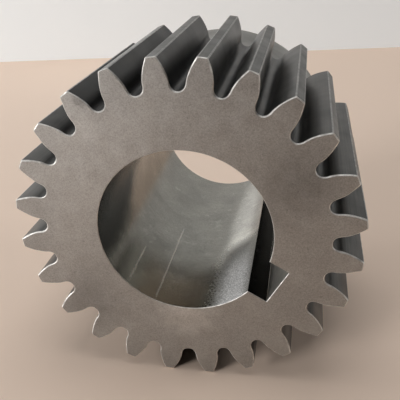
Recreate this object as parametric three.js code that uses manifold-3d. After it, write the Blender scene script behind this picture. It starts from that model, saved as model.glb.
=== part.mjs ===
// Spur gear with a rear hub, a keyed bore and straight involute teeth, in millimetres.
// The gear's axis is +Y and +Z is up. The origin is on the axis, halfway along the overall length.
// The toothed face looks along -Y and the hub stands out towards +Y. The gear rests on two neighbouring teeth.
//
// The real gear is one piece of steel. Here its teeth, body and hub are separate solids that meet face to face.

import * as THREE from "three";
import { mergeVertices } from "three/addons/utils/BufferGeometryUtils.js";
import Module from "manifold-3d";

// Driving dimensions.
const TEETH = 24;
const MODULE = 5.08; // diametral pitch 5
const PRESSURE_ANGLE = THREE.MathUtils.degToRad(20);
const ADDENDUM = 1.0 * MODULE;
const DEDENDUM = 1.35 * MODULE;
const HOB_TIP_RADIUS = 0.37 * MODULE; // rounds the root of each tooth space
const FACE_WIDTH = 83.5;
const HUB_LENGTH = 36.2;
const HUB_RADIUS = 53.7;
const HUB_EDGE_CHAMFER = 1.0;
const BORE_RADIUS = 33.34;
const BORE_CHAMFER = 0.5;
const KEYWAY_WIDTH = 15.875;
const KEYWAY_FLOOR = 40.74; // from the gear's axis
const KEYWAY_ANGLE = THREE.MathUtils.degToRad(120); // clockwise from the top, seen from the front

// How finely the curves are divided.
const ROOT_STEPS = 2;
const FILLET_STEPS = 5;
const FLANK_STEPS = 7;
const TIP_STEPS = 2;
const ROUND_STEPS = 96;

// Sizes worked out from the driving dimensions.
const PITCH_RADIUS = (MODULE * TEETH) / 2;
const BASE_RADIUS = PITCH_RADIUS * Math.cos(PRESSURE_ANGLE);
const TIP_RADIUS = PITCH_RADIUS + ADDENDUM;
const PITCH_STEP = (2 * Math.PI) / TEETH; // angle from one tooth to the next
const OVERALL_LENGTH = FACE_WIDTH + HUB_LENGTH;
const FRONT_Y = -OVERALL_LENGTH / 2;
const TOOTH_END_Y = FRONT_Y + FACE_WIDTH;
const REAR_Y = OVERALL_LENGTH / 2;
const CUTTER_OVERRUN = 5; // how far a cutter runs past the faces that it goes through
const HOB_ROUND_DEPTH = DEDENDUM - HOB_TIP_RADIUS;
const HOB_ROUND_OFFSET =
  (Math.PI * MODULE) / 4 -
  HOB_ROUND_DEPTH * Math.tan(PRESSURE_ANGLE) -
  HOB_TIP_RADIUS / Math.cos(PRESSURE_ANGLE);
const TOOTH_FOOT_ANGLE = THREE.MathUtils.degToRad(60); // where on the root round a tooth leaves the body

const steel = (color, roughness) =>
  new THREE.MeshStandardMaterial({ color, roughness, metalness: 1 });
const faceSteel = steel(0x8b837a, 0.55);
const flankSteel = steel(0x5c5b58, 0.4);
const hubSteel = steel(0x7a766f, 0.45);

const wasm = await Module();
wasm.setup();

// A point at an angle clockwise from the top, in the plane of the tooth profile.
const polar = (angle, radius) =>
  new THREE.Vector2(radius * Math.sin(angle), radius * Math.cos(angle));

const mirrored = ({ angle, radius }) => ({ angle: -angle, radius });

// The root round that a hob's rounded tip leaves. The slope runs from a right angle at the bottom of the
// tooth space down to the pressure angle, where the involute takes over.
function rootPoint(slope) {
  const along = HOB_ROUND_DEPTH / Math.tan(slope);
  const across = along + HOB_TIP_RADIUS * Math.cos(slope);
  const out = PITCH_RADIUS - HOB_ROUND_DEPTH - HOB_TIP_RADIUS * Math.sin(slope);
  const roll = (along - HOB_ROUND_OFFSET) / PITCH_RADIUS;
  return { angle: Math.atan2(across, out) - roll, radius: Math.hypot(across, out) };
}

const involute = (angle) => Math.tan(angle) - angle;

// The involute flank on the clockwise side of a tooth space, measured from the middle of the space.
function flankPoint(radius) {
  const halfSpace = Math.PI / (2 * TEETH) - involute(PRESSURE_ANGLE);
  return { angle: halfSpace + involute(Math.acos(BASE_RADIUS / radius)), radius };
}

// Evenly spaced values from first to last, both included.
const spread = (first, last, steps) =>
  Array.from({ length: steps + 1 }, (_, i) => first + ((last - first) * i) / steps);

const lowerRoot = spread(Math.PI / 2, TOOTH_FOOT_ANGLE, ROOT_STEPS).map(rootPoint);
const upperRoot = spread(TOOTH_FOOT_ANGLE, PRESSURE_ANGLE, FILLET_STEPS).map(rootPoint);
const flank = spread(upperRoot.at(-1).radius, TIP_RADIUS, FLANK_STEPS)
  .slice(1)
  .map(flankPoint);

// One tooth, from its flat foot to its tip. Its left side is the clockwise side of the space before it.
function toothShape(middle) {
  const side = [...upperRoot, ...flank];
  const half = PITCH_STEP / 2;
  const left = side.map(({ angle, radius }) => polar(middle - half + angle, radius));
  const right = side
    .map(mirrored)
    .map(({ angle, radius }) => polar(middle + half + angle, radius))
    .reverse();
  const tipHalf = half - side.at(-1).angle;
  const tip = spread(-tipHalf, tipHalf, TIP_STEPS)
    .slice(1, -1)
    .map((angle) => polar(middle + angle, TIP_RADIUS));
  return new THREE.Shape([...left, ...tip, ...right]);
}

// The body: a flat for each tooth's foot, and the bottom of a tooth space between each two flats.
function bodyShape() {
  const space = [...lowerRoot.map(mirrored).reverse(), ...lowerRoot];
  const outline = spread(0, TEETH - 1, TEETH - 1).flatMap((index) =>
    space.map(({ angle, radius }) => polar(index * PITCH_STEP + angle, radius)),
  );
  return new THREE.Shape(outline);
}

// A shape drawn in X and Z, extruded from one Y to another.
function prism(shape, fromY, toY) {
  const geometry = new THREE.ExtrudeGeometry(shape, {
    depth: toY - fromY,
    bevelEnabled: false,
    curveSegments: 1,
  });
  return geometry.rotateX(Math.PI / 2).translate(0, toY, 0);
}

// A profile of [radius, y] points turned about the gear's axis.
function turned(profile) {
  const points = profile.map(([radius, y]) => new THREE.Vector2(radius, y));
  return new THREE.LatheGeometry(points, ROUND_STEPS);
}

function toSolid(geometry) {
  const bare = geometry.index ? geometry.toNonIndexed() : geometry.clone();
  bare.deleteAttribute("normal");
  bare.deleteAttribute("uv");
  const merged = mergeVertices(bare, 1e-4);
  return new wasm.Manifold(
    new wasm.Mesh({
      numProp: 3,
      vertProperties: merged.attributes.position.array,
      triVerts: new Uint32Array(merged.index.array),
    }),
  );
}

function toGeometry(solid) {
  const { vertProperties, triVerts } = solid.getMesh();
  const geometry = new THREE.BufferGeometry();
  geometry.setAttribute("position", new THREE.BufferAttribute(vertProperties, 3));
  geometry.setIndex(new THREE.BufferAttribute(triVerts, 1));
  return geometry.toNonIndexed();
}

// The bore with its chamfered mouths, and the keyway that runs along it from end to end.
function boreCutter() {
  const mouth = BORE_RADIUS + BORE_CHAMFER + CUTTER_OVERRUN;
  const bore = turned([
    [0, FRONT_Y - CUTTER_OVERRUN],
    [mouth, FRONT_Y - CUTTER_OVERRUN],
    [BORE_RADIUS, FRONT_Y + BORE_CHAMFER],
    [BORE_RADIUS, REAR_Y - BORE_CHAMFER],
    [mouth, REAR_Y + CUTTER_OVERRUN],
    [0, REAR_Y + CUTTER_OVERRUN],
  ]);
  const keyway = new THREE.BoxGeometry(
    KEYWAY_WIDTH,
    OVERALL_LENGTH + 2 * CUTTER_OVERRUN,
    KEYWAY_FLOOR,
  );
  keyway.translate(0, 0, KEYWAY_FLOOR / 2).rotateY(KEYWAY_ANGLE);
  return toSolid(bore).add(toSolid(keyway));
}

const cutter = boreCutter();

function gearBody() {
  const blank = toSolid(prism(bodyShape(), FRONT_Y, TOOTH_END_Y));
  return new THREE.Mesh(toGeometry(blank.subtract(cutter)), faceSteel);
}

function rearHub() {
  const blank = turned([
    [0, TOOTH_END_Y],
    [HUB_RADIUS, TOOTH_END_Y],
    [HUB_RADIUS, REAR_Y - HUB_EDGE_CHAMFER],
    [HUB_RADIUS - HUB_EDGE_CHAMFER, REAR_Y],
    [0, REAR_Y],
  ]);
  return new THREE.Mesh(toGeometry(toSolid(blank).subtract(cutter)), hubSteel);
}

// Teeth are numbered clockwise from the one just right of the top. A tooth space is at the very top.
function tooth(index) {
  const middle = (index + 0.5) * PITCH_STEP;
  return new THREE.Mesh(prism(toothShape(middle), FRONT_Y, TOOTH_END_Y), flankSteel);
}

const gear = new THREE.Group();

function place(mesh, name) {
  mesh.name = name;
  gear.add(mesh);
}

place(gearBody(), "gear_body");
place(rearHub(), "rear_hub");
for (let index = 0; index < TEETH; index++) {
  place(tooth(index), `tooth_${String(index + 1).padStart(2, "0")}`);
}

export default gear;
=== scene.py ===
"""A steel spur gear with a rear hub and a keyed bore. It stands on two of its teeth on a plain pale floor.

The gear's axis is +Y, its toothed face looks along -Y, and +Z is up. Everything is in metres.
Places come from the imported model, and the tooth form is worked out from the tooth count and the tip radius.
"""

import math

import bpy
from mathutils import Matrix, Vector, noise
from mathutils.geometry import delaunay_2d_cdt


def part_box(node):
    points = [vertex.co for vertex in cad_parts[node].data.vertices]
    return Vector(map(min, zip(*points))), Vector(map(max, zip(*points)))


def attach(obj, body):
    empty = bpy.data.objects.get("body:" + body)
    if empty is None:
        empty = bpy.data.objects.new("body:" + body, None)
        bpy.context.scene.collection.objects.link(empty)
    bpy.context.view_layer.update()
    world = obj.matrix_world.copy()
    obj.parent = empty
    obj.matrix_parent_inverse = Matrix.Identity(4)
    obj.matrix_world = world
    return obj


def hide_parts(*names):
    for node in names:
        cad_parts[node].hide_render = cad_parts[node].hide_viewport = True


MM = 0.001

# Tooth form.
PRESSURE_ANGLE = math.radians(20)
DEDENDUM = 1.35  # in modules
HOB_TIP_RADIUS = 0.37  # in modules
TOOTH_FOOT_ANGLE = math.radians(60)
TIP_EDGE = 0.35 * MM  # how far the round along a tooth's tip edge reaches

# Bore and keyway.
BORE_RADIUS = 33.34 * MM
KEYWAY_WIDTH = 15.875 * MM
KEYWAY_FLOOR = 40.74 * MM
KEYWAY_ANGLE = math.radians(120)
KEYWAY_CORNER = 0.35 * MM
KEYWAY_WALL_SHADE_TO = 0.15 * MM  # its walls carry painted shade, near black, up to this far from the floor
KEYWAY_FLOOR_LIGHT_FROM = 0.05 * MM  # and its floor carries painted light, pale, from this near to it

# Painted shade low on the flanks, deep in the tooth spaces: it is darkest inside the first radius, and gone
# outside the second.
ROOT_SHADE_FROM = 56 * MM
ROOT_SHADE_TO = 60 * MM
ROOT_SHADE_DARKEST = 0.5  # the brightness that the darkest painted shade leaves

# Soft darker and lighter places: (angle, radius, how far each reaches, brightness at its middle).
# On the face: darker at the upper right, the lower left and the lower right, lighter at the left, the upper
# left and just below the bore, with one small dark spot at the upper left.
FACE_DARKER_LIGHTER_PLACES = (
    (math.radians(60), 46 * MM, 24 * MM, 0.70),
    (math.radians(230), 52 * MM, 24 * MM, 0.76),
    (math.radians(122), 52 * MM, 18 * MM, 0.90),
    (math.radians(182), 34 * MM, 17 * MM, 1.45),
    (math.radians(285), 44 * MM, 24 * MM, 1.10),
    (math.radians(322), 46 * MM, 26 * MM, 1.16),
    (math.radians(326), 60 * MM, 6 * MM, 0.66),
)
# Painted shade on the flanks of the teeth at the upper left, which face up and to the right.
FLANK_PAINTED_SHADE = (
    (math.radians(332), 62 * MM, 66 * MM, 0.22),
)

# Painted shade and painted light in the bore, where reflections and shade make it darker or lighter:
# (angle, distance from the front face, reach round the bore, reach along it, brightness).
BORE_PAINTED_LIGHT_AND_SHADE = (
    (math.radians(280), 8 * MM, 24 * MM, 56 * MM, 0.26),
    (math.radians(192), 2 * MM, 24 * MM, 22 * MM, 1.6),
    (math.radians(205), 90 * MM, 24 * MM, 60 * MM, 1.12),
    (math.radians(150), 38 * MM, 12 * MM, 24 * MM, 1.35),
    (math.radians(308), 70 * MM, 24 * MM, 62 * MM, 0.76),
)

BORE_PAINTED_CORE = 0.6  # the share of its reach over which a painted place in the bore keeps its full strength

# Two scratches along the bore: (angle, distance of the near end and of the far end from the front face).
SCRATCHES = (
    (math.radians(202.6), 1 * MM, 60 * MM),
    (math.radians(224.9), 2 * MM, 30 * MM),
)
SCRATCH_WIDTH = 0.45 * MM
SCRATCH_START = 3 * MM  # how far a scratch takes to reach its full depth
SCRATCH_END = 6 * MM  # how far it takes to fade

# A rougher, more deeply marked patch in the bore beside the keyway, with a painted highlight in its colour.
HIGHLIGHT_PATCH_ANGLE = math.radians(148)
HIGHLIGHT_PATCH_HALF_WIDTH = 10.5 * MM
HIGHLIGHT_PATCH_FULL_WIDTH = 0.3  # the share of its half width that is fully rubbed
HIGHLIGHT_PATCH_LENGTH = 50 * MM
HIGHLIGHT_PATCH_FULL_LENGTH = 0.4  # the share of its length that is fully rubbed
HIGHLIGHT_PATCH_MARK_DEPTH = 6.0  # how much deeper its marks are than the rest of the bore's
HIGHLIGHT_PATCH_METAL = 0.5  # the share of it that is metal; the rest is pale and not metal, which brightens its painted highlight

# Chamfers.
TOOTH_CHAMFER = 0.4 * MM
CHAMFER_WANDER = 0.5  # share of its width by which a filed chamfer varies
CHAMFER_WANDER_PITCH = 3.5 * MM
REAR_CHAMFER_SHARE = 0.6  # of the room between the hub and the edge of a tooth space
BORE_CHAMFER = 0.21 * MM
HUB_CHAMFER = 1.0 * MM

# How finely the surfaces are divided.
ROOT_STEPS = 6
FILLET_STEPS = 14
FLANK_STEPS = 20
TIP_EDGE_STEPS = 5
LAND_STEPS = 3
LENGTH_STEPS = 6
ROUND_STEPS = 240
CORNER_STEPS = 5
FACE_RINGS = 3
SNAP = 1e-7  # corners nearer than this are one vertex

# The camera, aimed at a point of the front face's plane.
CAMERA_AZIMUTH = math.radians(11.09)
CAMERA_ELEVATION = math.radians(26.47)
CAMERA_ROLL = math.radians(-1.81)
CAMERA_DISTANCE = 208.3 * MM
CAMERA_AIM_X = 4.94 * MM
CAMERA_AIM_Z = 13.17 * MM
CAMERA_LENS = 52.13
CAMERA_SHIFT_X = 0.0108
CAMERA_SHIFT_Y = 0.0090

# The stage: a round floor, and a board that stands behind the gear.
FLOOR_RADIUS = 820 * MM
FLOOR_CORNERS = 96
BOARD_Y = 571 * MM
BOARD_TURN = math.radians(12.6)
BOARD_LEFT = -800 * MM
BOARD_RIGHT = 800 * MM
BOARD_HEIGHT = 800 * MM
FLOOR_COLOUR = (0.90, 0.71, 0.575, 1)
FLOOR_ROUGHNESS = 0.6
BOARD_COLOUR = (0.915, 0.95, 0.965, 1)
BOARD_ROUGHNESS = 0.8

# Soft lights: (name, azimuth, elevation, distance, width, height, watts).
# Azimuth 0 is in front of the gear, and 90 to its right.
LIGHTS_AIM = Vector((0, 0, 0))  # the gear's middle
LIGHTS = (
    ("key", math.radians(-46), math.radians(11), 1400 * MM, 420 * MM, 400 * MM, 13.2),
    ("left", math.radians(-92), math.radians(14), 1400 * MM, 500 * MM, 500 * MM, 4.6),
    ("right", math.radians(102), math.radians(16), 1400 * MM, 500 * MM, 500 * MM, 3.6),
    ("top", 0, math.radians(90), 1400 * MM, 900 * MM, 900 * MM, 6.0),
    ("rear", math.radians(-154), math.radians(9), 560 * MM, 110 * MM, 150 * MM, 0.04),
)

# The world is seen as a pale backdrop, and gives the steel almost no light.
WORLD_COLOUR = (0.9, 0.93, 1.0, 1)
WORLD_LIGHT = 0.02
WORLD_SEEN = 0.6

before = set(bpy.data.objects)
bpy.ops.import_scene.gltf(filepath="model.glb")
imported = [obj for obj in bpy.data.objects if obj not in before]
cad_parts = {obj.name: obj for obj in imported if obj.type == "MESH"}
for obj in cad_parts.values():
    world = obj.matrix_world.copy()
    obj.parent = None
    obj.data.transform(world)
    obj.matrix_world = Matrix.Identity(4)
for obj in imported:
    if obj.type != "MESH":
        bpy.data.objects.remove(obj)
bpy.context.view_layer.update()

teeth = sorted(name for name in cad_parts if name.startswith("tooth_"))
front_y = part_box("gear_body")[0].y
tooth_end_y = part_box("gear_body")[1].y
rear_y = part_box("rear_hub")[1].y
floor_z = min(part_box(name)[0].z for name in teeth)


def radii(node):
    return [math.hypot(v.co.x, v.co.z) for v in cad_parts[node].data.vertices]


tip_radius = max(radii(teeth[0]))
hub_radius = max(radii("rear_hub"))

tooth_count = len(teeth)
pitch_step = 2 * math.pi / tooth_count
module = 2 * tip_radius / (tooth_count + 2)
pitch_radius = module * tooth_count / 2
base_radius = pitch_radius * math.cos(PRESSURE_ANGLE)
hob_round = HOB_TIP_RADIUS * module
hob_depth = DEDENDUM * module - hob_round
hob_offset = (
    math.pi * module / 4
    - hob_depth * math.tan(PRESSURE_ANGLE)
    - hob_round / math.cos(PRESSURE_ANGLE)
)


# --- Curves in the XZ plane. A point is (x, z), and angles run clockwise from +Z, seen from the front. ---


def polar(angle, radius):
    return Vector((radius * math.sin(angle), radius * math.cos(angle)))


def turned(point, angle):
    return Matrix.Rotation(-angle, 2) @ point


def root_point(slope):
    """The root round that a hob's rounded tip leaves, measured from the middle of the tooth space."""
    along = hob_depth / math.tan(slope)
    across = along + hob_round * math.cos(slope)
    out = pitch_radius - hob_depth - hob_round * math.sin(slope)
    roll = (along - hob_offset) / pitch_radius
    return polar(math.atan2(across, out) - roll, math.hypot(across, out))


def involute(angle):
    return math.tan(angle) - angle


def flank_point(radius):
    """The involute on the clockwise side of a tooth space, measured from the middle of the space."""
    half_space = math.pi / (2 * tooth_count) - involute(PRESSURE_ANGLE)
    return polar(half_space + involute(math.acos(base_radius / radius)), radius)


def arc(radius):
    return lambda angle: polar(angle, radius)


def line(start, end):
    return lambda t: start.lerp(end, t)


def rounded(start, corner, end):
    """Leaves start towards the corner, and arrives at end from the corner."""
    return lambda t: start.lerp(corner, t).lerp(corner.lerp(end, t), t)


def sampled(curve, first, last, steps):
    """Points of a curve, each with the normal on the left of the way that it runs."""
    nudge = (last - first) * 1e-3
    run = []
    for i in range(steps + 1):
        t = first + (last - first) * i / steps
        way = (curve(t + nudge) - curve(t - nudge)).normalized()
        run.append((curve(t), Vector((-way.y, way.x))))
    return run


def chained(*runs):
    """Smooth runs joined end to end, with each shared point kept once."""
    return list(runs[0]) + [sample for run in runs[1:] for sample in run[1:]]


def mirrored(run):
    return [(Vector((-p.x, p.y)), Vector((-n.x, n.y))) for p, n in reversed(run)]


def turned_run(run, angle):
    return [(turned(p, angle), turned(n, angle)) for p, n in run]


def root_run(space):
    """The bottom of one tooth space, from the foot of one tooth to the foot of the next."""
    half = sampled(root_point, math.pi / 2, TOOTH_FOOT_ANGLE, ROOT_STEPS)
    return turned_run(chained(mirrored(half), half), space * pitch_step)


def tooth_runs(tooth):
    """One tooth: flank, tip edge, land, tip edge, flank. Tooth 0 is just right of the top."""
    half = pitch_step / 2
    flank_start = root_point(PRESSURE_ANGLE).length
    flank = chained(
        sampled(root_point, TOOTH_FOOT_ANGLE, PRESSURE_ANGLE, FILLET_STEPS),
        sampled(flank_point, flank_start, tip_radius - TIP_EDGE, FLANK_STEPS),
    )
    flank = turned_run(flank, -half)
    corner = turned(flank_point(tip_radius), -half)
    land_start = math.atan2(corner.x, corner.y) + TIP_EDGE / tip_radius
    edge = sampled(rounded(flank[-1][0], corner, polar(land_start, tip_radius)), 0, 1, TIP_EDGE_STEPS)
    land = sampled(arc(tip_radius), land_start, 0, LAND_STEPS)
    runs = [flank, edge, chained(land, mirrored(land)), mirrored(edge), mirrored(flank)]
    return [turned_run(run, (tooth + 0.5) * pitch_step) for run in runs]


def bore_runs():
    """The round of the bore, then the keyway. They run counterclockwise, so their normals face the axis."""
    half = KEYWAY_WIDTH / 2
    edge = math.asin(half / BORE_RADIUS)
    mouth = math.sqrt(BORE_RADIUS**2 - half**2)
    low = KEYWAY_FLOOR - KEYWAY_CORNER

    def across(out, side):
        return turned(Vector((side, out)), KEYWAY_ANGLE)

    def corner(side):
        inner = math.copysign(half - KEYWAY_CORNER, side)
        curve = rounded(across(low, side), across(KEYWAY_FLOOR, side), across(KEYWAY_FLOOR, inner))
        return sampled(curve, 0, 1, CORNER_STEPS) if side > 0 else sampled(curve, 1, 0, CORNER_STEPS)

    inner = half - KEYWAY_CORNER
    keyway = chained(
        sampled(line(across(mouth, half), across(low, half)), 0, 1, 1),
        corner(half),
        sampled(line(across(KEYWAY_FLOOR, inner), across(KEYWAY_FLOOR, -inner)), 0, 1, 1),
        corner(-half),
        sampled(line(across(low, -half), across(mouth, -half)), 0, 1, 1),
    )
    start = KEYWAY_ANGLE - edge
    end = KEYWAY_ANGLE + edge - 2 * math.pi
    return sampled(arc(BORE_RADIUS), start, end, ROUND_STEPS), keyway


# --- Solids ---


class Solid:
    """Faces gathered into one closed mesh, with a normal of its own for each corner of each face."""

    def __init__(self):
        self.vertex_of = {}
        self.faces = []
        self.normals = []
        self.materials = []

    def vertex(self, place):
        key = tuple(round(c / SNAP) for c in place)
        return self.vertex_of.setdefault(key, len(self.vertex_of))

    def face(self, places, normals, material):
        """Adds a face, wound by its first three corners to look the way that its normals point.

        Corners that coincide are kept once.
        """
        corners = []
        for place, normal in zip(places, normals):
            index = self.vertex(place)
            if index not in [c[0] for c in corners]:
                corners.append((index, Vector(normal), Vector(place)))
        if len(corners) < 3:
            return
        a, b, c = (corner[2] for corner in corners[:3])
        if (b - a).cross(c - a).dot(corners[0][1] + corners[1][1] + corners[2][1]) < 0:
            corners.reverse()
        self.faces.append([corner[0] for corner in corners])
        self.normals += [corner[1] for corner in corners]
        self.materials.append(material)

    def made(self, name, materials):
        """The Blender object."""
        places = [tuple(c * SNAP for c in key) for key in self.vertex_of]
        mesh = bpy.data.meshes.new(name)
        mesh.from_pydata(places, [], self.faces)
        used = sorted(set(self.materials))
        for material in used:
            mesh.materials.append(materials[material])
        mesh.polygons.foreach_set("material_index", [used.index(m) for m in self.materials])
        mesh.polygons.foreach_set("use_smooth", [True] * len(self.faces))
        mesh.normals_split_custom_set([tuple(n) for n in self.normals])
        piece = bpy.data.objects.new(name, mesh)
        bpy.context.scene.collection.objects.link(piece)
        return piece


def at_y(point, y):
    return Vector((point.x, y, point.y))


def point_key(point):
    return tuple(round(c / SNAP) for c in point)


def normals_at(*runs):
    """For each point of the runs, the normals that meet there."""
    found = {}
    for run in runs:
        for point, normal in run:
            found.setdefault(point_key(point), []).append(normal)
    return found


def inset(point, meeting, width):
    """The point moved into the material, by width from each side that meets there."""
    a, b = meeting[0], meeting[-1]
    return point - (a + b) * (width / (1 + a.dot(b)))


def filed_width(point):
    """The width of the chamfer at a point of the tooth outline. A hand-filed edge is a little uneven."""
    return TOOTH_CHAMFER * (1 + CHAMFER_WANDER * noise.noise(at_y(point, 0) / CHAMFER_WANDER_PITCH))


def rear_width(point):
    """The chamfer at the rear end of the teeth, which narrows where the hub leaves little room."""
    room = point.length - hub_radius
    return min(TOOTH_CHAMFER, REAR_CHAMFER_SHARE * room)


class Side:
    """The places down the length of a surface that runs along Y, with or without a chamfer at each end."""

    def __init__(self, meeting, front, rear, front_chamfer, rear_chamfer, steps=1):
        self.meeting = meeting
        self.ends = front, rear
        self.chamfers = front_chamfer, rear_chamfer
        self.steps = steps

    def at_front(self, point):
        width = self.chamfers[0](point)
        return inset(point, self.meeting[point_key(point)], width)

    def at_rear(self, point):
        width = self.chamfers[1](point)
        return inset(point, self.meeting[point_key(point)], width)

    def places(self, point):
        """From the front face over the chamfer, down the length, and over the chamfer to the rear face."""
        front, rear = self.ends
        first = front + self.chamfers[0](point)
        last = rear - self.chamfers[1](point)
        down = [at_y(point, first + (last - first) * i / self.steps) for i in range(self.steps + 1)]
        return [at_y(self.at_front(point), front), *down, at_y(self.at_rear(point), rear)]

    def add_to(self, solid, run, material, edge_material):
        """Adds the strips of one run. A chamfer of no width adds none."""
        for (p, n), (q, m) in zip(run, run[1:]):
            near, far = self.places(p), self.places(q)
            for i in range(len(near) - 1):
                lean = -1 if i == 0 else 1 if i == len(near) - 2 else 0
                tilted = [at_y(normal, lean).normalized() for normal in (n, m, m, n)]
                corners = [near[i], far[i], far[i + 1], near[i + 1]]
                solid.face(corners, tilted, edge_material if lean else material)


def no_chamfer(point):
    return 0.0


def outside_loop(loop, point):
    """Whether a point is outside a closed loop of points."""
    crossings = 0
    for a, b in zip(loop, loop[1:] + loop[:1]):
        if (a.y > point.y) != (b.y > point.y):
            crossings += point.x < a.x + (b.x - a.x) * (point.y - a.y) / (b.y - a.y)
    return crossings % 2 == 0


def add_ring_face(solid, outer, inner, y, facing, material):
    """A flat face square to the axis, between an outer and an inner closed loop of points."""
    inner_reach = max(p.length for p in inner)
    outer_reach = min(p.length for p in outer)
    between = [
        polar(
            2 * math.pi * i / len(inner),
            inner_reach + (outer_reach - inner_reach) * ring / (FACE_RINGS + 1),
        )
        for ring in range(1, FACE_RINGS + 1)
        for i in range(0, len(inner), 2)
    ]
    points = [*outer, *inner, *between]
    first = len(outer)
    count = len(outer) + len(inner)
    edges = [(i, (i + 1) % first) for i in range(first)]
    edges += [(i, first + (i + 1 - first) % len(inner)) for i in range(first, count)]
    made, _, triangles, kept, _, _ = delaunay_2d_cdt(points, edges, [], 1, SNAP)
    places = [points[kept[i][0]] if kept[i] else p for i, p in enumerate(made)]
    for triangle in triangles:
        corners = [places[i] for i in triangle]
        if outside_loop(inner, sum(corners, Vector((0, 0))) / 3):
            solid.face([at_y(p, y) for p in corners], [Vector((0, facing, 0))] * 3, material)


FACE, FLANK, LAND, TIP, EDGE, BORE, KEYWAY, HUB = range(8)

roots = [root_run(space) for space in range(tooth_count)]
tooth_parts = [tooth_runs(tooth) for tooth in range(tooth_count)]
round_run, keyway_run = bore_runs()
outline_normals = normals_at(*roots, *[run for runs in tooth_parts for run in runs])
bore_normals = normals_at(round_run, keyway_run)

tooth_side = Side(outline_normals, front_y, tooth_end_y, filed_width, rear_width, LENGTH_STEPS)
body_bore = Side(bore_normals, front_y, tooth_end_y, lambda point: BORE_CHAMFER, no_chamfer)
hub_bore = Side(bore_normals, tooth_end_y, rear_y, no_chamfer, lambda point: BORE_CHAMFER)


def bore_loop(place):
    return [place(p) for run in (round_run, keyway_run) for p, _ in run[:-1]]


def add_bore(solid, side):
    side.add_to(solid, round_run, BORE, EDGE)
    side.add_to(solid, keyway_run, KEYWAY, EDGE)


def add_foot(solid, left, right, facing):
    """The face where a tooth stands on the body. It is inside the steel, and nothing shows of it."""
    near, far = tooth_side.places(left), tooth_side.places(right)
    across = (left + right).normalized() * facing
    for i in range(len(near) - 1):
        corners = [near[i], far[i], far[i + 1], near[i + 1]]
        solid.face(corners, [at_y(across, 0)] * 4, FLANK)


def gear_body(materials):
    solid = Solid()
    for run in roots:
        tooth_side.add_to(solid, run, FLANK, EDGE)
    for before, after in zip(roots, roots[1:] + roots[:1]):
        add_foot(solid, before[-1][0], after[0][0], 1)
    add_bore(solid, body_bore)
    front = [tooth_side.at_front(p) for run in roots for p, _ in run]
    rear = [tooth_side.at_rear(p) for run in roots for p, _ in run]
    add_ring_face(solid, front, bore_loop(body_bore.at_front), front_y, -1, FACE)
    add_ring_face(solid, rear, bore_loop(body_bore.at_rear), tooth_end_y, 1, HUB)
    return solid.made("finished_gear_body", materials)


def tooth(index, materials):
    solid = Solid()
    for run, material in zip(tooth_parts[index], (FLANK, TIP, LAND, TIP, FLANK)):
        tooth_side.add_to(solid, run, material, EDGE)
    ring = [p for p, _ in chained(*tooth_parts[index])]
    add_foot(solid, ring[0], ring[-1], -1)
    for place, y, facing, material in (
        (tooth_side.at_front, front_y, -1, FACE),
        (tooth_side.at_rear, tooth_end_y, 1, HUB),
    ):
        flat = [at_y(place(p), y) for p in ring]
        for i in range(len(ring) // 2):
            corners = [flat[i], flat[i + 1], flat[-i - 2], flat[-i - 1]]
            solid.face(corners, [Vector((0, facing, 0))] * 4, material)
    return solid.made(f"finished_{teeth[index]}", materials)


def rear_hub(materials):
    solid = Solid()
    outer = sampled(arc(hub_radius), 0, 2 * math.pi, ROUND_STEPS)
    outer[-1] = outer[0]
    side = Side(normals_at(outer), tooth_end_y, rear_y, no_chamfer, lambda point: HUB_CHAMFER, LENGTH_STEPS)
    side.add_to(solid, outer, HUB, EDGE)
    add_bore(solid, hub_bore)
    front = [side.at_front(p) for p, _ in outer[:-1]]
    rear = [side.at_rear(p) for p, _ in outer[:-1]]
    add_ring_face(solid, front, bore_loop(hub_bore.at_front), tooth_end_y, -1, HUB)
    add_ring_face(solid, rear, bore_loop(hub_bore.at_rear), rear_y, 1, HUB)
    return solid.made("finished_rear_hub", materials)


# --- Materials ---


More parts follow.
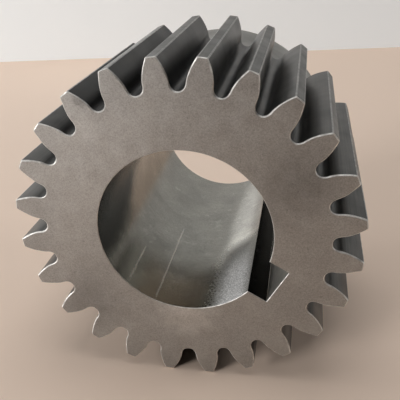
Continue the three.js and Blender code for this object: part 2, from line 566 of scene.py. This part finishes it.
class Shading:
    """A material's node tree, with short ways to add what the steel needs."""

    def __init__(self, name):
        self.material = bpy.data.materials.new(name)
        self.material.use_nodes = True
        self.tree = self.material.node_tree
        self.shader = self.tree.nodes["Principled BSDF"]
        self.place = self.add("ShaderNodeTexCoord").outputs["Object"]

    def add(self, kind, inputs=None, **settings):
        node = self.tree.nodes.new(kind)
        for name, value in settings.items():
            setattr(node, name, value)
        for name, value in (inputs or {}).items():
            if isinstance(value, bpy.types.NodeSocket):
                self.tree.links.new(value, node.inputs[name])
            else:
                node.inputs[name].default_value = value
        return node

    def math(self, operation, *values):
        node = self.add("ShaderNodeMath", dict(enumerate(values)), operation=operation)
        return node.outputs[0]

    def noise(self, pitch, detail=2.0, roughness=0.5, stretch=(1, 1, 1)):
        """Noise from about 0 to 1, whose lumps are about pitch across, and longer along stretched axes."""
        scale = [1 / (pitch * s) for s in stretch]
        mapping = self.add("ShaderNodeMapping", {"Vector": self.place, "Scale": scale})
        inputs = {"Vector": mapping.outputs[0], "Scale": 1.0, "Detail": detail, "Roughness": roughness}
        return self.add("ShaderNodeTexNoise", inputs).outputs["Fac"]

    def spread(self, value, low, high, from_low=0.3, from_high=0.7):
        """Maps a noise's usual range to low and high."""
        inputs = {"Value": value, "From Min": from_low, "From Max": from_high, "To Min": low, "To Max": high}
        return self.add("ShaderNodeMapRange", inputs).outputs[0]

    def blend(self, share, first, second):
        """A colour between two colours."""
        node = self.add("ShaderNodeMix", data_type="RGBA")
        for socket, value in ((node.inputs[0], share), (node.inputs[6], first), (node.inputs[7], second)):
            if isinstance(value, bpy.types.NodeSocket):
                self.tree.links.new(value, socket)
            else:
                socket.default_value = value
        return node.outputs[2]

    def scaled(self, colour, factor):
        """A colour made darker or lighter by a number."""
        return self.add("ShaderNodeVectorMath", {0: colour, "Scale": factor}, operation="SCALE").outputs[0]

    def product(self, *values):
        result = values[0]
        for value in values[1:]:
            result = self.math("MULTIPLY", result, value)
        return result

    def set(self, colour, roughness, height, depth):
        """Finishes the material. depth is the bump's real depth where height runs from 0 to 1."""
        bump = self.add("ShaderNodeBump", {"Height": height, "Distance": depth, "Strength": 1.0})
        self.tree.links.new(colour, self.shader.inputs["Base Color"])
        self.tree.links.new(roughness, self.shader.inputs["Roughness"])
        self.tree.links.new(bump.outputs[0], self.shader.inputs["Normal"])
        self.shader.inputs["Metallic"].default_value = 1.0
        return self.material


def seen_along_axis(s):
    """A place with its distance along the axis taken out."""
    return s.add("ShaderNodeVectorMath", {0: s.place, 1: (1, 0, 1)}, operation="MULTIPLY").outputs[0]


def brightness_places_factor(s, place_list):
    """Soft darker and lighter places, the same all along the axis: 1 where there is none."""
    flat = seen_along_axis(s)
    wobble = s.spread(s.noise(5 * MM, detail=4), -3 * MM, 3 * MM)
    fadings = []
    for angle, radius, reach, change in place_list:
        middle = at_y(polar(angle, radius), 0)
        apart = s.add("ShaderNodeVectorMath", {0: flat, 1: middle}, operation="DISTANCE").outputs["Value"]
        off = s.math("ADD", apart, wobble)
        fadings.append(s.add("ShaderNodeMapRange", {
            "Value": off, "From Min": 0.0, "From Max": reach, "To Min": change, "To Max": 1.0,
        }, interpolation_type="SMOOTHSTEP").outputs[0])
    return s.product(*fadings)


def ground_face():
    """The front face: finely ground and matte, with soft stains and a few specks."""
    s = Shading("ground_face")
    grain = s.noise(0.42 * MM, detail=3, roughness=0.6)
    mottle = s.noise(6 * MM, detail=4)
    stain = s.noise(22 * MM, detail=3)
    specks = s.noise(0.9 * MM, detail=1)
    colour = s.blend(s.spread(stain, 0, 1), (0.381, 0.373, 0.359, 1), (0.332, 0.325, 0.314, 1))
    light = s.product(
        s.spread(grain, 0.82, 1.18),
        s.spread(mottle, 0.94, 1.05),
        s.spread(specks, 1, 0.78, 0.71, 0.76),
        brightness_places_factor(s, FACE_DARKER_LIGHTER_PLACES),
    )
    roughness = s.spread(mottle, 0.43, 0.5)
    return s.set(s.scaled(colour, light), roughness, grain, 0.02 * MM)


def cut_flank():
    """The flanks and roots of the teeth: cut lengthwise and dark, with painted shade low on the flanks and on
    the flanks at the upper left.
    """
    s = Shading("cut_flank")
    streak = s.noise(0.5 * MM, detail=3, stretch=(1, 60, 1))
    grain = s.noise(0.4 * MM, detail=2)
    stain = s.noise(14 * MM, detail=4)
    patches = s.noise(5 * MM, detail=4, stretch=(1, 3, 1))
    radius = s.add("ShaderNodeVectorMath", {0: seen_along_axis(s)}, operation="LENGTH").outputs["Value"]
    # Painted shade deep in the tooth spaces: darker towards the roots.
    low = s.spread(radius, ROOT_SHADE_DARKEST, 1, ROOT_SHADE_FROM, ROOT_SHADE_TO)
    colour = s.blend(s.spread(stain, 0, 1), (0.125, 0.122, 0.114, 1), (0.088, 0.087, 0.082, 1))
    light = s.product(
        s.spread(streak, 0.72, 1.27),
        s.spread(grain, 0.93, 1.07),
        s.spread(patches, 0.9, 1.08),
        # Painted shade on the flanks at the upper left.
        brightness_places_factor(s, FLANK_PAINTED_SHADE),
        low,
    )
    roughness = s.spread(s.math("ADD", streak, stain), 0.32, 0.44, 0.6, 1.4)
    return s.set(s.scaled(colour, light), roughness, streak, 0.006 * MM)


def turned_land():
    """The tops of the teeth, turned before the teeth were cut."""
    s = Shading("turned_land")
    streak = s.noise(0.4 * MM, detail=3, stretch=(1, 40, 1))
    stain = s.noise(10 * MM, detail=4)
    colour = s.blend(s.spread(stain, 0, 1), (0.158, 0.155, 0.146, 1), (0.122, 0.12, 0.113, 1))
    light = s.spread(streak, 0.88, 1.1)
    return s.set(s.scaled(colour, light), s.spread(stain, 0.36, 0.48), streak, 0.006 * MM)


def filed_edge(name, bright, dull):
    """Chamfers and tip edges: bare steel with file marks, bright in places and dull in others."""
    s = Shading(name)
    marks = s.noise(0.3 * MM, detail=2)
    wear = s.noise(2.5 * MM, detail=3)
    colour = s.blend(s.spread(wear, 0, 1), bright, dull)
    light = s.spread(marks, 0.9, 1.08)
    return s.set(s.scaled(colour, light), s.spread(wear, 0.56, 0.66), marks, 0.012 * MM)


def bore_place(s):
    """A place in the bore as its angle and its distance from the front face."""
    at = s.add("ShaderNodeSeparateXYZ", {0: s.place}).outputs
    return s.math("ARCTAN2", at[0], at[2]), s.math("SUBTRACT", at[1], front_y)


def across_bore(s, angle, direction):
    """The distance round the bore from a line along it, negative on one side."""
    wrapped = s.math("WRAP", s.math("SUBTRACT", angle, direction), math.pi, -math.pi)
    return s.math("MULTIPLY", wrapped, BORE_RADIUS)


def bore_light_and_shade_factor(s, angle, along):
    """The painted shade and painted light in the bore, darker and lighter places: 1 where there is none."""
    wobble = s.spread(s.noise(7 * MM, detail=4), -0.1, 0.1)
    fadings = []
    for direction, middle, reach_round, reach_along, change in BORE_PAINTED_LIGHT_AND_SHADE:
        sideways = s.math("DIVIDE", across_bore(s, angle, direction), reach_round)
        lengthways = s.math("DIVIDE", s.math("SUBTRACT", along, middle), reach_along)
        squares = s.math("ADD", s.product(sideways, sideways), s.product(lengthways, lengthways))
        off = s.math("ADD", s.math("SQRT", squares), wobble)
        fadings.append(s.add("ShaderNodeMapRange", {
            "Value": off, "From Min": BORE_PAINTED_CORE, "From Max": 1.0, "To Min": change, "To Max": 1.0,
        }, interpolation_type="SMOOTHSTEP").outputs[0])
    return s.product(*fadings)


def scratch_share(s, angle, along):
    """How much of a place in the bore a scratch covers, from 0 to 1."""
    wobble = s.spread(s.noise(8 * MM, detail=2), -0.12 * MM, 0.12 * MM)
    total = None
    for direction, near, far in SCRATCHES:
        off = s.math("ABSOLUTE", s.math("ADD", across_bore(s, angle, direction), wobble))
        across = s.spread(off, 1, 0, 0, SCRATCH_WIDTH)
        begins = s.spread(along, 0, 1, near, near + SCRATCH_START)
        ends = s.spread(along, 1, 0, far - SCRATCH_END, far)
        share = s.product(across, begins, ends)
        total = share if total is None else s.math("MAXIMUM", total, share)
    return total


def highlight_patch_share(s, angle, along):
    """How much of a place in the bore is the rougher patch beside the keyway with the painted highlight, from
    0 to 1.
    """
    ragged = s.spread(s.noise(0.8 * MM, detail=3), -2.4 * MM, 2.4 * MM)
    off = s.math("ABSOLUTE", s.math("ADD", across_bore(s, angle, HIGHLIGHT_PATCH_ANGLE), ragged))
    across = s.spread(off, 1, 0, HIGHLIGHT_PATCH_HALF_WIDTH * HIGHLIGHT_PATCH_FULL_WIDTH, HIGHLIGHT_PATCH_HALF_WIDTH)
    return s.product(across, s.spread(along, 1, 0, HIGHLIGHT_PATCH_LENGTH * HIGHLIGHT_PATCH_FULL_LENGTH, HIGHLIGHT_PATCH_LENGTH))


def bored_wall():
    """The bore: smooth, with fine marks round it, speckle, pale blooms, scratches, painted light and shade,
    and a rougher patch with a painted highlight beside the keyway.
    """
    s = Shading("bored_wall")
    angle, along = bore_place(s)
    rings = s.noise(0.5 * MM, detail=2, stretch=(40, 1, 40))
    speckle = s.noise(0.6 * MM, detail=3, roughness=0.6)
    sparkle = s.noise(0.45 * MM, detail=2)
    scuffs = s.noise(0.5 * MM, detail=1, stretch=(5, 1, 5))
    cloud = s.noise(12 * MM, detail=4)
    bloom = s.noise(5 * MM, detail=5, roughness=0.65)
    highlight_patch = highlight_patch_share(s, angle, along)
    plain = s.blend(s.spread(cloud, 0, 1), (0.285, 0.28, 0.252, 1), (0.225, 0.221, 0.20, 1))
    light = s.product(
        s.spread(rings, 0.94, 1.06),
        s.spread(speckle, 0.8, 1.2),
        s.spread(bloom, 1, 1.3, 0.58, 0.7),
        # Painted shade and painted light in the bore.
        bore_light_and_shade_factor(s, angle, along),
    )
    # Painted highlight with painted glints: a near-white colour for the patch beside the keyway.
    painted_highlight_colour = s.blend(s.spread(sparkle, 0, 1, 0.42, 0.6), (0.62, 0.615, 0.605, 1), (1.0, 0.995, 0.985, 1))
    scratched = scratch_share(s, angle, along)
    colour = s.blend(highlight_patch, s.scaled(plain, light), painted_highlight_colour)
    colour = s.blend(scratched, colour, (0.80, 0.775, 0.73, 1))
    roughened = s.math("MAXIMUM", s.spread(highlight_patch, 0, 0.55, 0, 0.5), s.math("MULTIPLY", scratched, 0.3))
    roughness = s.math("ADD", s.spread(cloud, 0.17, 0.23), roughened)
    fine = s.math("ADD", s.math("MULTIPLY", speckle, 0.7), s.math("MULTIPLY", rings, 0.3))
    coarse = s.product(scuffs, highlight_patch, HIGHLIGHT_PATCH_MARK_DEPTH)
    # Less metal in the patch, which makes its painted highlight brighter.
    s.tree.links.new(s.spread(highlight_patch, 1, HIGHLIGHT_PATCH_METAL, 0, 0.8), s.shader.inputs["Metallic"])
    return s.set(colour, roughness, s.math("ADD", fine, coarse), 0.016 * MM)


def broached_keyway():
    """The keyway: walls painted near black as painted shade, and a floor painted pale as painted light, with
    marks along them.
    """
    s = Shading("broached_keyway")
    streak = s.noise(0.4 * MM, detail=3, stretch=(1, 80, 1))
    stain = s.noise(9 * MM, detail=3)
    outward = (math.sin(KEYWAY_ANGLE), 0, math.cos(KEYWAY_ANGLE))
    depth = s.add("ShaderNodeVectorMath", {0: s.place, 1: outward}, operation="DOT_PRODUCT").outputs["Value"]
    floor = s.spread(depth, 0, 1, KEYWAY_FLOOR - KEYWAY_WALL_SHADE_TO, KEYWAY_FLOOR - KEYWAY_FLOOR_LIGHT_FROM)
    # Painted shade: the walls near black. Painted light: the floor pale.
    shaded_wall_colour = s.blend(s.spread(stain, 0, 1), (0.016, 0.0155, 0.014, 1), (0.010, 0.0095, 0.009, 1))
    lit_floor_colour = s.blend(s.spread(stain, 0, 1), (0.80, 0.775, 0.72, 1), (0.66, 0.64, 0.60, 1))
    colour = s.blend(floor, shaded_wall_colour, lit_floor_colour)
    roughness = s.math("ADD", s.spread(stain, 0.2, 0.28), s.math("MULTIPLY", floor, 0.2))
    return s.set(s.scaled(colour, s.spread(streak, 0.88, 1.1)), roughness, streak, 0.004 * MM)


def turned_hub():
    """The hub and the rear faces, with turning marks round the axis."""
    s = Shading("turned_hub")
    rings = s.noise(0.45 * MM, detail=2, stretch=(40, 1, 40))
    grain = s.noise(0.35 * MM, detail=2)
    stain = s.noise(16 * MM, detail=4)
    colour = s.blend(s.spread(stain, 0, 1), (0.27, 0.265, 0.245, 1), (0.22, 0.216, 0.20, 1))
    light = s.product(s.spread(rings, 0.93, 1.06), s.spread(grain, 0.95, 1.04))
    return s.set(s.scaled(colour, light), s.spread(stain, 0.38, 0.5), rings, 0.008 * MM)


def stage_material(name, colour, roughness):
    material = bpy.data.materials.new(name)
    material.use_nodes = True
    shader = material.node_tree.nodes["Principled BSDF"]
    shader.inputs["Base Color"].default_value = colour
    shader.inputs["Roughness"].default_value = roughness
    return material


# --- The stage, the lights, the world and the camera ---


def stage_plane(name, corners, material):
    mesh = bpy.data.meshes.new(name)
    mesh.from_pydata(corners, [], [range(len(corners))])
    mesh.materials.append(material)
    plane = bpy.data.objects.new(name, mesh)
    bpy.context.scene.collection.objects.link(plane)


def make_stage():
    """A plain pale round floor, and a plain pale board that stands on it well behind the gear."""
    floor_material = stage_material("pale_floor", FLOOR_COLOUR, FLOOR_ROUGHNESS)
    board_material = stage_material("pale_board", BOARD_COLOUR, BOARD_ROUGHNESS)
    around = [2 * math.pi * i / FLOOR_CORNERS for i in range(FLOOR_CORNERS)]
    rim = [Vector((FLOOR_RADIUS * math.cos(a), FLOOR_RADIUS * math.sin(a), floor_z)) for a in around]
    stage_plane("floor", rim, floor_material)
    slope = math.tan(BOARD_TURN)
    left = Vector((BOARD_LEFT, BOARD_Y + BOARD_LEFT * slope, floor_z))
    right = Vector((BOARD_RIGHT, BOARD_Y + BOARD_RIGHT * slope, floor_z))
    up = Vector((0, 0, BOARD_HEIGHT))
    stage_plane("board", [left, right, right + up, left + up], board_material)


def make_lights():
    for name, azimuth, elevation, distance, width, height, watts in LIGHTS:
        light = bpy.data.lights.new(name, "AREA")
        light.shape = "RECTANGLE"
        light.size = width
        light.size_y = height
        light.energy = watts
        lamp = bpy.data.objects.new(name, light)
        flat = distance * math.cos(elevation)
        lamp.location = (flat * math.sin(azimuth), -flat * math.cos(azimuth), distance * math.sin(elevation))
        lamp.rotation_euler = (LIGHTS_AIM - lamp.location).to_track_quat("-Z", "Y").to_euler()
        lamp.visible_camera = False
        bpy.context.scene.collection.objects.link(lamp)


def make_world():
    world = bpy.data.worlds.new("studio")
    world.use_nodes = True
    nodes = world.node_tree.nodes
    background = nodes["Background"].inputs
    background["Color"].default_value = WORLD_COLOUR
    seen = nodes.new("ShaderNodeLightPath")
    strength = nodes.new("ShaderNodeMapRange")
    strength.inputs["To Min"].default_value = WORLD_LIGHT
    strength.inputs["To Max"].default_value = WORLD_SEEN
    world.node_tree.links.new(seen.outputs["Is Camera Ray"], strength.inputs["Value"])
    world.node_tree.links.new(strength.outputs[0], background["Strength"])
    bpy.context.scene.world = world


def make_camera():
    back = Vector((
        math.sin(CAMERA_AZIMUTH) * math.cos(CAMERA_ELEVATION),
        -math.cos(CAMERA_AZIMUTH) * math.cos(CAMERA_ELEVATION),
        math.sin(CAMERA_ELEVATION),
    ))
    data = bpy.data.cameras.new("camera")
    data.lens = CAMERA_LENS
    data.shift_x = CAMERA_SHIFT_X
    data.shift_y = CAMERA_SHIFT_Y
    camera = bpy.data.objects.new("camera", data)
    facing = (-back).to_track_quat("-Z", "Y").to_matrix() @ Matrix.Rotation(CAMERA_ROLL, 3, "Z")
    aim = Vector((CAMERA_AIM_X, front_y, CAMERA_AIM_Z))
    camera.matrix_world = Matrix.Translation(aim + back * CAMERA_DISTANCE) @ facing.to_4x4()
    bpy.context.scene.collection.objects.link(camera)
    bpy.context.scene.camera = camera


def finish_piece(piece, node):
    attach(piece, "root")
    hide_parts(node)


materials = {
    FACE: ground_face(),
    FLANK: cut_flank(),
    LAND: turned_land(),
    TIP: filed_edge("worn_tip", (0.52, 0.51, 0.49, 1), (0.34, 0.335, 0.32, 1)),
    EDGE: filed_edge("filed_edge", (0.95, 0.93, 0.89, 1), (0.52, 0.505, 0.48, 1)),
    BORE: bored_wall(),
    KEYWAY: broached_keyway(),
    HUB: turned_hub(),
}
finish_piece(gear_body(materials), "gear_body")
finish_piece(rear_hub(materials), "rear_hub")
for index, node in enumerate(teeth):
    finish_piece(tooth(index, materials), node)

make_stage()
make_lights()
make_world()
make_camera()
bpy.context.scene.view_settings.view_transform = "Standard"
